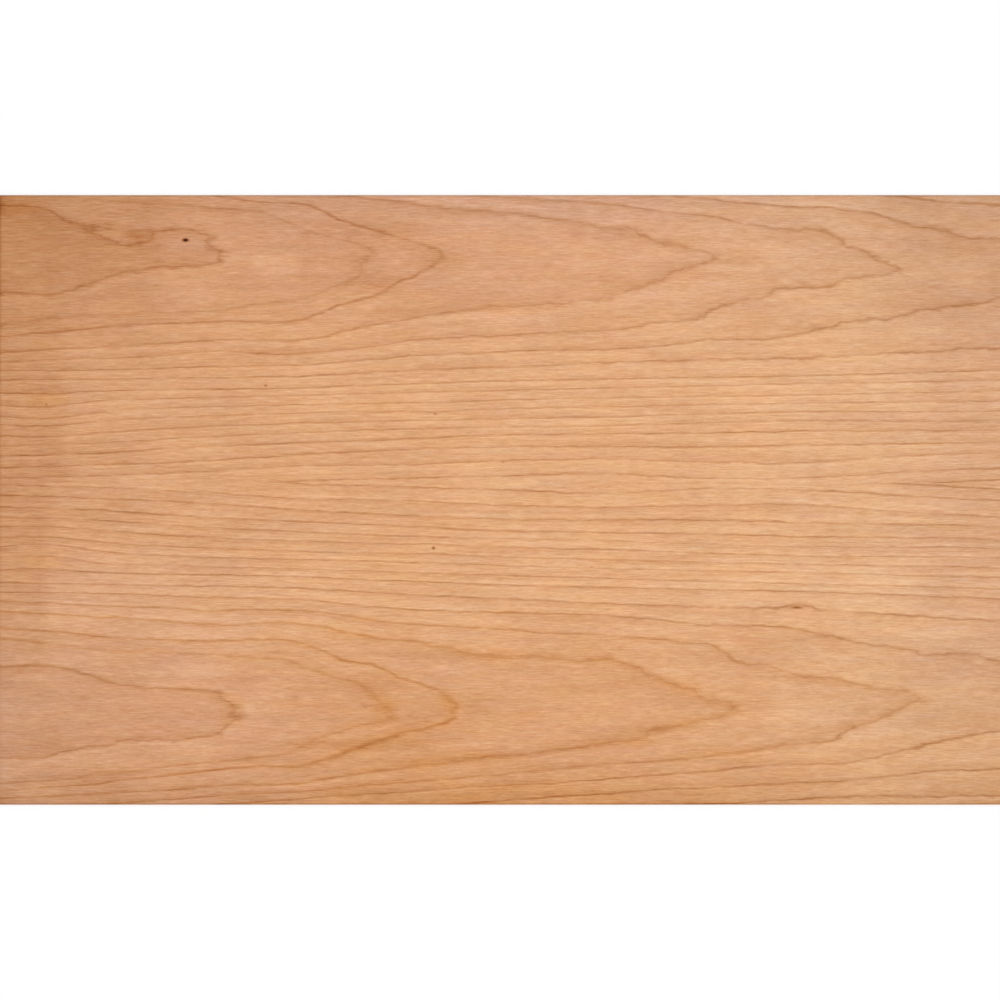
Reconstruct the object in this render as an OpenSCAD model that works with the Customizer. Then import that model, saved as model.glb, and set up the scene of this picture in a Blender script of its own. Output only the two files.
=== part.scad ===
// Wood veneer sheet: two book-matched leaves of sliced cherry, spliced edge to edge.
// The sheet lies flat. +X runs along the grain, +Y across it, +Z out of the show face.
// The origin is the centre of the sheet, on its glue face.

/* [Sheet] */
// Length of both leaves, along the grain
sheet_length = 610; // [200:1:3000]
// Thickness that the leaves were sliced to
veneer_thickness = 0.6; // [0.4:0.05:3]

/* [Leaves] */
// Width of the narrow leaf, from the splice to the +Y edge
narrow_leaf_width = 144; // [60:0.5:400]
// Width of the wide leaf, from the splice to the -Y edge
wide_leaf_width = 161; // [60:0.5:400]

/* [Hidden] */

sheet_width = narrow_leaf_width + wide_leaf_width;
front_edge_y = -sheet_width / 2;
splice_y = front_edge_y + wide_leaf_width;

// One sliced leaf, guillotined square, with its lower long edge on y = 0.
module leaf(width) {
    translate([-sheet_length / 2, 0, 0])
        cube([sheet_length, width, veneer_thickness]);
}

// Upper leaf of the pair: it runs from the splice to the +Y edge.
module narrow_leaf() {
    color("burlywood")
        translate([0, splice_y, 0])
            leaf(narrow_leaf_width);
}

// Its mirror partner: it runs from the -Y edge to the splice, and butts against the narrow leaf.
module wide_leaf() {
    color("tan")
        translate([0, front_edge_y, 0])
            leaf(wide_leaf_width);
}

narrow_leaf();
wide_leaf();
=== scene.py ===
# %% [markdown]
# # A book-matched sheet of sliced cherry veneer
#
# Veneer is wood sliced as thin as card from a log. Two leaves that lay next to each other in the log are
# opened like a book and glued edge to edge, so that the figure of one mirrors the other's. This lesson
# gives such a sheet its looks. The two leaves already exist as plain slabs, at their real size; here each
# gets a surface fine enough to carry the figure of the wood, and a finish that draws it.
#
# Everything is in metres, as in the slabs, but wood is easier to think about in millimetres, so the
# places inside the log are kept in millimetres and carried to the finish as attributes of the mesh.

# %% Load the two slabs
import math

import bpy
import numpy as np
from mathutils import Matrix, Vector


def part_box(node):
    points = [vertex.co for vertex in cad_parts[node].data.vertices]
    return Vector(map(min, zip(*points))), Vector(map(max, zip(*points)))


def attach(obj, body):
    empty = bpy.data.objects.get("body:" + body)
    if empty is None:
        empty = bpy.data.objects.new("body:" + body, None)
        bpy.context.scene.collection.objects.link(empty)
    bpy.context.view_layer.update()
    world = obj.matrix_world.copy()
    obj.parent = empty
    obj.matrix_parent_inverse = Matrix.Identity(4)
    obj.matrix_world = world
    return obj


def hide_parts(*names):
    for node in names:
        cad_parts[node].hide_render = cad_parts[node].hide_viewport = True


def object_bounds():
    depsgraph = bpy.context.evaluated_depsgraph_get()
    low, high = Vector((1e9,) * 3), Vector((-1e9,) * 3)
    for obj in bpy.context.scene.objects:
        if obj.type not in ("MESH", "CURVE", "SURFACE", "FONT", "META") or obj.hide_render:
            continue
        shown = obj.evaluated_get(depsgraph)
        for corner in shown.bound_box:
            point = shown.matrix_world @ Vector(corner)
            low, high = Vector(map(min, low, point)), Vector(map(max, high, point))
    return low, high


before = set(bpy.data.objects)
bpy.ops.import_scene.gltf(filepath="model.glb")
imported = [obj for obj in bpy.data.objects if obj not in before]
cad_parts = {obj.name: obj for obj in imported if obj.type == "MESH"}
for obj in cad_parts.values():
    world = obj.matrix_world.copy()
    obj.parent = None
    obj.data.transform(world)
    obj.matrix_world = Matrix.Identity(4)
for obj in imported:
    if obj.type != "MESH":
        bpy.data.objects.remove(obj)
cad_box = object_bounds()
MM = 0.001
LEAVES = ("narrow_leaf", "wide_leaf")
for leaf in LEAVES:
    low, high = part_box(leaf)
    print(leaf, [round((b - a) / MM, 2) for a, b in zip(low, high)], "mm")

# %% [markdown]
# ## The camera
#
# The sheet is seen from straight above, as on a copying stand, and a long lens looks nearly straight down
# on all of it. The view takes in the full width of the sheet with white above and below. Its left border
# cuts off a hair of the sheet's left end, and the right end lies far outside.

# %% Camera
VIEW_WIDTH = 0.5006
LENS = 85.0
SENSOR = 36.0
BORDER_SHIFT = 0.0003

sheet_low, sheet_high = cad_box
camera_data = bpy.data.cameras.new("copy_stand_camera")
camera_data.lens = LENS
camera_data.sensor_width = SENSOR
camera_data.clip_end = 20.0
camera = bpy.data.objects.new("copy_stand_camera", camera_data)
camera_height = VIEW_WIDTH / 2 * LENS / (SENSOR / 2)
camera.location = (
    sheet_low.x + VIEW_WIDTH / 2 + BORDER_SHIFT,
    (sheet_low.y + sheet_high.y) / 2,
    sheet_high.z + camera_height,
)
bpy.context.scene.collection.objects.link(camera)
bpy.context.scene.camera = camera
bpy.context.scene.view_settings.view_transform = "Standard"
print("camera", round(camera_height, 3), "m above the sheet")

# %% [markdown]
# ## Writing a finish as arithmetic
#
# A finish in Blender is a graph of nodes, and a long formula makes an unreadable graph. So a small class
# wraps a socket and gives it +, -, *, / and **: the formula is written as a formula, and each sign adds
# its Math node. Everything else, such as noise, ramps and mixes, goes through one method that takes the
# node's type, its settings and what is plugged into it.

# %% Sockets that can be calculated with
SPREAD = 12.0


class Value:
    """A number that changes over the surface. Arithmetic on it adds Math nodes."""

    def __init__(self, finish, socket):
        self.finish = finish
        self.socket = socket

    def math(self, operation, *others):
        """This value put through one Math node, with the other values of the operation."""
        return self.finish.node("ShaderNodeMath", {"operation": operation}, [self, *others])

    def __add__(self, other):
        return self.math("ADD", other)

    __radd__ = __add__

    def __mul__(self, other):
        return self.math("MULTIPLY", other)

    __rmul__ = __mul__

    def __sub__(self, other):
        return self.math("SUBTRACT", other)

    def __rsub__(self, other):
        return self.finish.node("ShaderNodeMath", {"operation": "SUBTRACT"}, [other, self])

    def __truediv__(self, other):
        return self.math("DIVIDE", other)

    def __rtruediv__(self, other):
        return self.finish.node("ShaderNodeMath", {"operation": "DIVIDE"}, [other, self])

    def __pow__(self, other):
        return self.math("POWER", other)


class Finish:
    """A material, or the sky, and the one way of adding a node to it."""

    def __init__(self, name=None, world=None):
        self.material = world or bpy.data.materials.new(name)
        self.material.use_nodes = True
        self.tree = self.material.node_tree
        self.tree.nodes.clear()

    def node(self, kind, settings=(), inputs=(), output=0):
        """Adds a node. Its settings are set first; inputs is a list in socket order or a dict by name."""
        made = self.tree.nodes.new(kind)
        for name, value in dict(settings).items():
            if name == "stops":
                self.set_stops(made.color_ramp, value)
            else:
                setattr(made, name, value)
        pairs = inputs.items() if isinstance(inputs, dict) else enumerate(inputs)
        for name, value in pairs:
            if isinstance(value, Value):
                self.tree.links.new(value.socket, made.inputs[name])
            else:
                made.inputs[name].default_value = value
        if not made.outputs:
            return None
        return Value(self, made.outputs[output])

    def set_stops(self, ramp, stops):
        """Gives a colour ramp these stops, as position and linear colour."""
        while len(ramp.elements) > 1:
            ramp.elements.remove(ramp.elements[-1])
        for number, (position, colour) in enumerate(stops):
            if number == 0:
                stop = ramp.elements[0]
                stop.position = position
            else:
                stop = ramp.elements.new(position)
            stop.color = (*colour, 1.0)

    def attribute(self, name):
        """The three numbers that the mesh carries under this name, as one vector."""
        return self.node("ShaderNodeAttribute", {"attribute_name": name}, output="Vector")

    def parts(self, vector):
        """The three numbers of a vector."""
        outputs = self.node("ShaderNodeSeparateXYZ", inputs=[vector]).socket.node.outputs
        return [Value(self, outputs[axis]) for axis in "XYZ"]

    def noise(self, place, length, width, detail=2.0, roughness=0.5):
        """Noise around 0 that is seldom beyond -2 or 2. Its grains are as long as length along the grain,
        and as wide as width across it and into the log, in millimetres. The node's own output stays close
        to 0.5, and SPREAD brings it to this range."""
        size = (length, width, width)
        scaled = self.node("ShaderNodeVectorMath", {"operation": "DIVIDE"}, [place, size])
        cloud = self.node(
            "ShaderNodeTexNoise",
            {"noise_dimensions": "3D"},
            {"Vector": scaled, "Scale": 1.0, "Detail": detail, "Roughness": roughness},
        )
        return (cloud - 0.5) * SPREAD

    def noises(self, place, layers):
        """Several noises added up. Each layer gives its length, its width and its weight, and may give its
        detail and its roughness too."""
        total = 0.0
        for length, width, weight, *grain in layers:
            total = self.noise(place, length, width, *grain) * weight + total
        return total


print("helpers ready")

# %% [markdown]
# ## The figure of the wood
#
# A growth ring in a log is a long bumpy cone. A knife that slices the log off its centre cuts each cone
# in a long tongue, the flame, and the rings farther out in nearly straight lines. So the figure is one
# smooth field over the leaf: the number of the ring that each place belongs to. Where the field passes a
# whole number, one year's dark late wood ends and the next year's pale early wood begins.
#
# The field could be worked out from a model of a whole tree, but a real tree has dents that no short
# formula gives. So each growth line gets a route, the places that it passes through: millimetres from the
# left end, and millimetres from the splice. Ring 0 is the innermost tongue, and the numbers grow towards
# the bark.
#
# Near the splice the two leaves share their routes, because there one is the mirror picture of the other.
# The wide leaf was trimmed a little more, and not quite parallel, before the two were glued, so its routes
# lie closer to the splice at the left end, by the first number of the trim, and the second number is
# added for each millimetre along.

# %% Routes near the splice
WIDE_LEAF_TRIM = (1.7, -0.0061)
STRAIGHT_ROUTES = {
    6: [(0, 51.5), (50, 52), (150, 53.5), (200, 56), (300, 60), (350, 61.5), (400, 62.5), (450, 65),
        (500, 67.5), (610, 73.5)],
    7: [(0, 45), (25, 44.5), (50, 46), (150, 47.5), (200, 49.5), (300, 52), (400, 53.5), (500, 56.5),
        (610, 60.5)],
    8: [(0, 39), (25, 38), (50, 41), (100, 42.5), (200, 45), (300, 47.5), (400, 49.5), (500, 51.5),
        (610, 55.5)],
    9: [(0, 33.5), (25, 32), (50, 35.5), (100, 38), (200, 40), (300, 42.5), (400, 44), (500, 46),
        (610, 49.5)],
    10: [(0, 29), (25, 28.5), (50, 31), (100, 33.5), (200, 36), (300, 38), (400, 40), (500, 41),
        (610, 44.5)],
    11: [(0, 23.5), (25, 23), (50, 25), (100, 28), (200, 31), (300, 33), (400, 35.5), (500, 36),
        (610, 39.5)],
    12: [(0, 18.5), (50, 20), (100, 23), (200, 27), (300, 28.5), (400, 31), (500, 31), (610, 34.5)],
    13: [(0, 13.5), (50, 15), (100, 18), (200, 22), (250, 24), (350, 25), (400, 26), (500, 26.5),
        (610, 29.5)],
    14: [(0, 7.5), (50, 9), (100, 11), (150, 14), (250, 18), (350, 18), (400, 19), (500, 20.5),
        (610, 24.5)],
    15: [(0, 2.5), (50, 3.5), (100, 5.5), (150, 8.5), (200, 9), (250, 11), (300, 12), (350, 10.5),
        (400, 10), (450, 13), (500, 15.5), (610, 19.5)],
    16: [(0, -2.5), (60, -2), (130, -0.5), (150, 1), (250, 3.5), (300, 5), (325, 3.5), (350, 2.5),
        (400, 2.5), (450, 5), (500, 7.5), (610, 11.5)],
    17: [(0, -7.5), (150, -6.5), (300, -3.5), (400, -2.5), (460, -0.5), (500, 1.5), (610, 4.5)],
}
print("routes for rings", min(STRAIGHT_ROUTES), "to", max(STRAIGHT_ROUTES))

# %% [markdown]
# The flames lie nearer to the heart, where one slice is already unlike the next, so each leaf has its own.
# A flame's route runs once round it: along one leg, round the tip and back along the other leg. The
# innermost tongue of the narrow leaf has teeth and a bay, because a small knot grew there.

# %% Flames of the narrow leaf
NARROW_LEAF_FLAMES = {
    0: [(0, 139.5), (10, 139), (19, 138.3), (25, 136.3), (32, 132.3), (41, 130), (51, 130.2), (52, 129),
        (50, 126), (52, 122.8), (60, 119.8), (65, 119.6), (71, 120.8), (77, 125.2), (85, 127.6),
        (92, 127.8), (104.5, 125.3), (108.5, 123.7), (106, 121), (107, 118), (111.5, 114.8), (111.8, 112),
        (108, 109.8), (98, 108.2), (80, 108), (68, 106.3), (55, 103), (45, 99.7), (33, 95.7), (24, 94),
        (8, 95), (0, 95)],
    1: [(60, 141), (99, 139), (111, 137.5), (132, 135.5), (143, 131.5), (153, 127), (169, 123),
        (186, 117.5), (188, 115.5), (182, 109.5), (180, 103.5), (168, 98), (153, 92.3), (144, 90.3),
        (127, 89), (119, 87), (112, 86), (80, 85), (40, 83.3), (13, 80.8), (0, 78.8)],
    2: [(60, 147), (107, 144), (127, 141), (151, 140), (158, 138.2), (163, 135.5), (169, 132.7),
        (182, 128), (200, 123), (214, 119), (220, 116.5), (221.5, 114), (219, 110.5), (214, 106.5),
        (200, 100.5), (188, 94.2), (174, 90.2), (165, 87), (156, 83), (149, 81), (135, 80.2), (115, 81),
        (97, 80.3), (68, 79.3), (50, 78), (38, 76.3), (17, 74.8), (0, 73)],
    3: [(100, 150), (182, 143), (205, 140.7), (218, 138.3), (240, 136.7), (262, 134.6), (275, 132.7),
        (288, 130.6), (297, 128.6), (317, 128), (321, 125.5), (327, 121.8), (338, 119.6), (347, 117),
        (358, 113.5), (356, 111.5), (349, 109.2), (342, 107), (335, 103), (327, 99.5), (313, 96),
        (308, 93), (302, 91.7), (293, 91.3), (286, 89.6), (260, 88.5), (238, 87), (216, 84), (200, 81),
        (180, 77.5), (162, 73), (150, 71.3), (130, 71.2), (112, 71.6), (96, 70.6), (75, 69), (60, 67.9),
        (32, 67.3), (0, 65)],
    4: [(180, 150), (240, 144), (260, 142.8), (293, 140.8), (310, 139.5), (323, 137.2), (343, 135),
        (360, 133), (375, 130), (393, 127), (411, 127), (418, 123.7), (426, 119), (437, 114.4),
        (441, 111.5), (450, 107.5), (442, 104.3), (428, 102.6), (421, 101.5), (415, 98.5), (398, 97.8),
        (388, 96.5), (384, 93.8), (368, 90.5), (355, 85.7), (345, 81.3), (327, 80), (314, 77),
        (284, 75.6), (250, 73.7), (208, 71.7), (192, 69), (173, 66.6), (157, 65.3), (143, 64.3),
        (128, 65), (113, 66), (100, 65.3), (85, 64), (63, 62.6), (32, 62), (0, 60.5)],
    5: [(250, 152), (320, 146), (341, 143.7), (360, 141.6), (385, 139.3), (400, 138), (416, 137.8),
        (436, 135), (451, 131.4), (462, 128.5), (469, 127.8), (480, 123.7), (496, 122), (520, 117.5),
        (545, 111), (557, 104.5), (540, 99), (500, 92.3), (490, 90), (474, 87.8), (450, 83.5),
        (443, 81.7), (429, 81.4), (415, 77.4), (400, 74.3), (387, 72), (370, 72), (356, 71.7), (335, 69),
        (310, 67), (275, 66.3), (242, 65), (208, 63.8), (193, 62.3), (150, 59), (100, 58), (50, 56.5),
        (0, 56)],
}
print("narrow leaf", len(NARROW_LEAF_FLAMES), "flames")

# %% [markdown]
# The innermost tongue of the wide leaf ends in a round tip. This leaf reaches farther from the splice, so
# more of each flame's far leg lies on it before the leg runs out over the outer edge or the left end.

# %% Flames of the wide leaf
WIDE_LEAF_FLAMES = {
    0: [(0, 91.5), (25, 91.5), (33, 92.5), (42, 95), (51, 98.5), (60, 100), (72, 102), (90, 103),
        (102, 103.5), (110, 105.5), (114, 108.5), (120, 111), (122, 114), (117, 119.5), (114, 121.5),
        (108, 126), (92, 129), (76, 129), (64, 128.5), (56, 131), (48, 132.5), (38, 133.5), (29, 135),
        (21, 137.5), (12, 138), (0, 138)],
    1: [(0, 77.5), (56, 83.5), (111, 86), (128, 87.3), (143, 88.5), (155, 92.5), (169, 97.3),
        (181, 100.5), (186, 105), (193, 110), (198, 116), (191, 119.5), (182, 121), (170, 125),
        (157, 129.5), (149, 134), (143, 136), (127, 137.5), (110, 139.5), (85, 142), (68, 144.5),
        (53, 145), (38, 148), (0, 150.5)],
    2: [(0, 72.5), (17, 73.5), (40, 75.3), (55, 77.5), (76, 78), (100, 79), (136, 78.5), (146, 79),
        (156, 81.5), (166, 86), (174, 89), (184, 90.3), (192, 93.2), (200, 97), (211, 100.8),
        (219, 103.5), (225, 108), (227.3, 111), (228, 114), (227.3, 117), (224, 119.7), (213, 123.3),
        (203, 125.3), (194, 128), (184, 131), (175, 134.5), (166, 137.8), (157, 140), (149, 142),
        (130, 142), (119, 142.5), (94, 145.3), (76, 147.5), (60, 148.7), (50, 150.5), (0, 154)],
    3: [(0, 64), (40, 66.2), (76, 68), (96, 70), (115, 71), (136, 69.5), (153, 70.5), (172, 74),
        (190, 77.5), (209, 79), (219, 81.5), (230, 83), (240, 85.5), (258, 86), (272, 86.2), (290, 88.5),
        (306, 88.3), (315, 90.7), (326, 96), (345, 103), (360, 109), (371, 113.5), (362, 116.5),
        (350, 119.8), (335, 122.6), (327, 124.3), (322, 127.7), (312, 129.6), (297, 131.3), (284, 133.5),
        (267, 135.7), (241, 138), (216, 141), (200, 143.5), (190, 144.2), (165, 148), (153, 150),
        (136, 151.3), (119, 151), (102, 152.5), (72, 154.7), (40, 156.3), (0, 158)],
    4: [(0, 59), (30, 60.3), (60, 61.7), (85, 62.5), (107, 64), (120, 63.4), (148, 63.8), (170, 65.8),
        (190, 69), (212, 71), (242, 72.4), (260, 73.7), (276, 75.2), (301, 75.8), (316, 77.2),
        (330, 78.1), (352, 80.5), (361, 82.5), (364, 84.2), (367, 88.2), (371, 90.3), (383, 91),
        (391, 93.8), (402, 96.3), (416, 97.8), (441, 102.8), (457, 105.3), (463, 107.5), (458, 110.3),
        (441, 117.3), (428, 122.5), (421, 126), (416, 129.3), (405, 130.6), (391, 131.7), (368, 135.3),
        (339, 138.5), (310, 140.7), (276, 143.7), (250, 146.2), (212, 149.2), (182, 151.7), (145, 155),
        (119, 156), (85, 158.5), (60, 160.5)],
    5: [(0, 54.5), (50, 55), (100, 57), (150, 58.2), (170, 60), (190, 62.2), (225, 64.1), (260, 64.8),
        (305, 66.3), (330, 68.3), (356, 70.9), (384, 71.5), (400, 73.2), (428, 79), (435, 80.6),
        (451, 82.4), (466, 85.3), (489, 86.5), (500, 89.5), (545, 98), (570, 105), (555, 112),
        (525, 119.5), (500, 124.5), (483, 127), (466, 130.5), (441, 137), (424, 140.2), (402, 141.2),
        (391, 141), (362, 143.7), (347, 145.2), (320, 146.7), (293, 149.4), (250, 151.8), (229, 152.6),
        (204, 155), (170, 156.6), (140, 159), (110, 161)],
}
print("wide leaf", len(WIDE_LEAF_FLAMES), "flames")

# %% [markdown]
# The next rings close their tips only beyond the end of the sheet. Their near legs are among the routes
# near the splice, and their far legs, along the outer edges, are given here. Between two growth lines
# there is no line to follow, so a few more places say how the rings lie there: the tip that the next
# flame would have, the line half way between ring 0 and ring 1, and some places inside the innermost
# tongue, each with its ring number.

# %% Far legs and places in between
FLAME_ROUTES = {"narrow_leaf": NARROW_LEAF_FLAMES, "wide_leaf": WIDE_LEAF_FLAMES}
FAR_LEGS = {
    "narrow_leaf": {
        6: [(430, 145.5), (455, 143), (480, 140.5), (500, 139), (560, 132), (610, 124)],
    },
    "wide_leaf": {
        6: [(610, 124), (540, 136), (500, 142.8), (466, 144.5), (451, 146.2), (415, 149.4), (390, 150.9),
            (364, 152), (330, 153.6), (305, 155.5), (276, 157), (255, 159), (200, 163)],
        7: [(610, 148), (540, 154), (500, 156.5), (420, 157), (408, 158.2), (380, 159.6), (300, 163)],
    },
}
NEXT_TIP = (640, 103)
HALF_WAY_RING = 0.5
HALF_WAY = {
    "narrow_leaf": [(15, 87.5), (45, 91), (75, 96), (105, 97.5), (135, 104), (147, 114), (125, 127),
        (85, 133), (40, 137)],
    "wide_leaf": [(15, 85), (50, 90.5), (85, 94), (120, 96), (146, 105), (158, 113), (142, 124),
        (110, 133), (70, 136.5), (30, 142)],
}
TONGUE_HEIGHTS = [(0, 116, -0.6), (30, 117, -0.55), (60, 113, -0.4), (90, 116, -0.2)]
print("far legs", {leaf: list(legs) for leaf, legs in FAR_LEGS.items()})

# %% [markdown]
# ## From routes to a field
#
# A smooth curve goes through each route's places. Then a thin plate spline bends one sheet over all the
# curves at once: it is the surface that a thin metal plate takes when it is held at given heights, so it
# has no kinks. Rings are about four times as long as they are wide, so lengths along the grain are divided
# by four first, or the plate would bulge between the curves. Along the crest of the flames a few more
# heights, between the tips, keep the plate from sagging.

# %% Curves through the routes
GRAIN_STRETCH = 4.0
CURVE_STEP = 5.0
CREST_STEP = 12.0


def curve_through(route, step):
    """Hermite curve through the route's places. Each tangent points from the place before to the place
    after, and is as long as the stretch that it starts."""
    places = np.array(route, float)
    places = np.vstack([2 * places[0] - places[1], places, 2 * places[-1] - places[-2]])
    stretches = []
    for before, start, end, after in zip(places[:-3], places[1:-2], places[2:-1], places[3:]):
        length = np.linalg.norm(end - start)
        leaving = (end - before) / np.linalg.norm(end - before) * length
        arriving = (after - start) / np.linalg.norm(after - start) * length
        count = max(1, int(length / step))
        t = (np.arange(count) / count)[:, None]
        stretches.append(
            (2 * t**3 - 3 * t**2 + 1) * start
            + (t**3 - 2 * t**2 + t) * leaving
            + (3 * t**2 - 2 * t**3) * end
            + (t**3 - t**2) * arriving
        )
    stretches.append(places[-2:-1])
    return np.vstack(stretches)


def with_height(places, ring):
    """The places with a third column that holds the ring number."""
    return np.column_stack([places, np.full(len(places), float(ring))])


def crest(flames):
    """Places along the crest of the flames: the height grows evenly from one tip to the next."""
    tips = {ring: max(route) for ring, route in flames.items()}
    tips[max(tips) + 1] = NEXT_TIP
    rings = sorted(tips)
    tip_along = [tips[ring][0] for ring in rings]
    tip_across = [tips[ring][1] for ring in rings]
    along = np.arange(tip_along[0] + CREST_STEP, tip_along[-1] - CREST_STEP, CREST_STEP)
    across = np.interp(along, tip_along, tip_across)
    return np.stack([along, across, np.interp(along, tip_along, rings)], 1)


def figure_places(leaf):
    """Every place with a known ring number on one leaf, as along, across and ring."""
    flames = FLAME_ROUTES[leaf]
    parts = [with_height(curve_through(route, CURVE_STEP), ring) for ring, route in flames.items()]
    for ring, route in STRAIGHT_ROUTES.items():
        curve = curve_through(route, 2 * CURVE_STEP)
        if leaf == "wide_leaf":
            curve[:, 1] -= WIDE_LEAF_TRIM[0] + WIDE_LEAF_TRIM[1] * curve[:, 0]
        parts.append(with_height(curve, ring))
    for ring, route in FAR_LEGS[leaf].items():
        parts.append(with_height(curve_through(route, 2 * CURVE_STEP), ring))
    parts.append(crest(flames))
    parts.append(with_height(np.array(HALF_WAY[leaf], float), HALF_WAY_RING))
    parts.append(np.array(TONGUE_HEIGHTS, float))
    return np.vstack(parts)


for leaf in LEAVES:
    print(leaf, len(figure_places(leaf)), "places with a known ring")

# %% [markdown]
# The plate's height anywhere is a tilted plane plus one hump for each known place. One system of equations
# gives the weights of all the humps at once. Places that nearly coincide would make the system stiff, so
# they are thinned first, and the plate is a little soft, which smooths what the places disagree about.
# The heights are worked out in chunks, because one table for a whole leaf would be too large.

# %% The plate that is bent over the places
PLATE_SOFTNESS = 0.5
CLOSEST = 0.6
LOG_FLOOR = 1e-9
CHUNK = 8000


def plate_kernel(a, b):
    """Thin plate kernel between each place of a and each of b: distance squared times its logarithm."""
    squared = (a[:, None, 0] - b[None, :, 0]) ** 2 + (a[:, None, 1] - b[None, :, 1]) ** 2
    return squared * np.log(squared + LOG_FLOOR)


def thinned(places):
    """The places without those that lie closer than CLOSEST to one that is kept."""
    kept = [0]
    for number in range(1, len(places)):
        apart = np.hypot(*(places[kept, :2] - places[number, :2]).T)
        if apart.min() > CLOSEST:
            kept.append(number)
    return places[kept]


def ring_numbers(leaf, along, across):
    """Ring number at each place: a tilted plane plus one kernel for each known place, with weights that
    make the plate pass the known heights, give or take its softness."""
    known = figure_places(leaf)
    known[:, 0] /= GRAIN_STRETCH
    known = thinned(known)
    count = len(known)
    system = np.zeros((count + 3, count + 3))
    system[:count, :count] = plate_kernel(known, known) + PLATE_SOFTNESS * np.eye(count)
    system[:count, count] = 1.0
    system[:count, count + 1:] = known[:, :2]
    system[count:, :count] = system[:count, count:].T
    weights = np.linalg.solve(system, np.concatenate([known[:, 2], np.zeros(3)]))
    asked = np.stack([along.ravel() / GRAIN_STRETCH, across.ravel()], 1)
    found = []
    for first in range(0, len(asked), CHUNK):
        part = asked[first:first + CHUNK]
        plane = weights[count] + part @ weights[count + 1:]
        found.append(plate_kernel(part, known) @ weights[:count] + plane)
    return np.concatenate(found).reshape(along.shape)


print("plate ready")

# %% [markdown]
# ## The leaves
#
# Each leaf is a thin slab with its long edges and ends eased a little, because a guillotine bruises the
# fibres it cuts. A closed profile runs across the leaf, over the show face, round the outer edge, back
# under the glue face and up the splice, and is carried along the grain. The show face has a point every
# millimetre or two, close enough to carry the figure. At the splice the leaves stay square, or a groove
# would show between them.

# %% Profile and sweep
ALONG_STEP = 2.0
ACROSS_STEP = 1.2
EASING = 0.12
SPLICE_EASING = 0.015


class LeafShape:
    """The numbers of one leaf, in millimetres: its box, the side of the splice that it lies on, how much
    deeper in the log its show face was, and its grid."""

    def __init__(self, leaf):
        low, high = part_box(leaf)
        self.leaf = leaf
        self.length = (high.x - low.x) / MM
        self.width = (high.y - low.y) / MM
        self.thickness = (high.z - low.z) / MM
        self.left = low.x / MM
        self.bottom = low.z / MM
        self.side = 1 if leaf == "narrow_leaf" else -1
        self.splice = (low.y if self.side > 0 else high.y) / MM
        self.slice_depth = 0.0 if self.side > 0 else self.thickness
        inner = np.linspace(EASING, self.length - EASING, int(self.length / ALONG_STEP) + 1)
        self.along = np.concatenate([[0.0], inner, [self.length]])
        columns = int(self.width / ACROSS_STEP) + 1
        self.across = np.linspace(SPLICE_EASING, self.width - EASING, columns)


def profile(shape):
    """The closed profile, as across, height and the show-face column that it takes its figure from. It
    starts at the splice, on the show face."""
    columns = np.arange(len(shape.across))
    thick = shape.thickness
    face = shape.across
    last = columns[-1]
    edge = np.array([[shape.width, thick - EASING, last], [shape.width, EASING, last]])
    splice = np.array([[0.0, SPLICE_EASING, 0], [0.0, thick - SPLICE_EASING, 0]])
    top = np.stack([face, np.full(len(face), thick), columns], 1)
    under = np.stack([face, np.zeros(len(face)), columns], 1)[::-1]
    return np.vstack([top, edge, under, splice])


def leaf_grid(shape):
    """Places of the whole leaf, station by station: across and height follow the profile, and the first
    and the last station are thinner by the easing, which rounds the ends."""
    section = profile(shape)
    along = np.repeat(shape.along[:, None], len(section), 1)
    across = np.repeat(section[None, :, 0], len(shape.along), 0)
    height = np.repeat(section[None, :, 1], len(shape.along), 0)
    for end in (0, -1):
        height[end] = height[end].clip(EASING, shape.thickness - EASING)
    return along, across, height, section[:, 2].astype(int)


def quad_corners(shape, stations, points):
    """Corners of every quad, as vertex numbers. The first block runs round the profile and along the
    grain. The other two close the ends, where each quad joins two show-face points to the two below."""
    station = np.arange(stations - 1)[:, None] * points
    point = np.arange(points)[None, :]
    after = (point + 1) % points
    following = station + points
    around = np.stack([station + point, following + point, following + after, station + after], -1)
    columns = len(shape.across)
    top = np.arange(columns - 1)
    end = np.stack([top, top + 1, 2 * columns - top, 2 * columns + 1 - top], -1)
    outer = [columns - 1, columns, columns + 1, columns + 2]
    inner = [2 * columns + 1, 2 * columns + 2, 2 * columns + 3, 0]
    end = np.vstack([end, [outer, inner]])
    return around.reshape(-1, 4), end, (stations - 1) * points + end[:, ::-1]


for leaf in LEAVES:
    shape = LeafShape(leaf)
    print(leaf, len(shape.along), "stations,", len(shape.across), "columns on the show face")

# %% [markdown]
# ## A map that lies along the grain
#
# When a finish is painted into a flat map, most of the map should go where the detail is. A growth line
# is a millimetre wide but runs the whole length of the leaf, so the map keeps the grain level and gives
# nearly four fifths of its height to the show face, less to the glue face and thin strips to the edges.

# %% Map of a leaf
SHOW_BAND = (0.004, 0.780)
OUTER_BAND = (0.786, 0.796)
GLUE_BAND = (0.802, 0.966)
SPLICE_BAND = (0.972, 0.978)
LEFT_END_BAND = (0.983, 0.988)
RIGHT_END_BAND = (0.992, 0.997)
MAP_MARGIN = 0.003


def between(band, share):
    """The place at this share of a band's height."""
    return band[0] + (band[1] - band[0]) * share


def map_rows(shape):
    """For each segment of the profile, the heights on the map of its start and its end. A long edge has
    three segments: its cut, and an eased corner above and below it."""
    columns = len(shape.across)
    share = np.linspace(0, 1, columns)
    edge = np.linspace(0, 1, 4)
    bands = [(SHOW_BAND, share), (OUTER_BAND, edge), (GLUE_BAND, share), (SPLICE_BAND, edge)]
    starts = [between(band, steps[:-1]) for band, steps in bands]
    ends = [between(band, steps[1:]) for band, steps in bands]
    return np.concatenate(starts), np.concatenate(ends)


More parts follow.
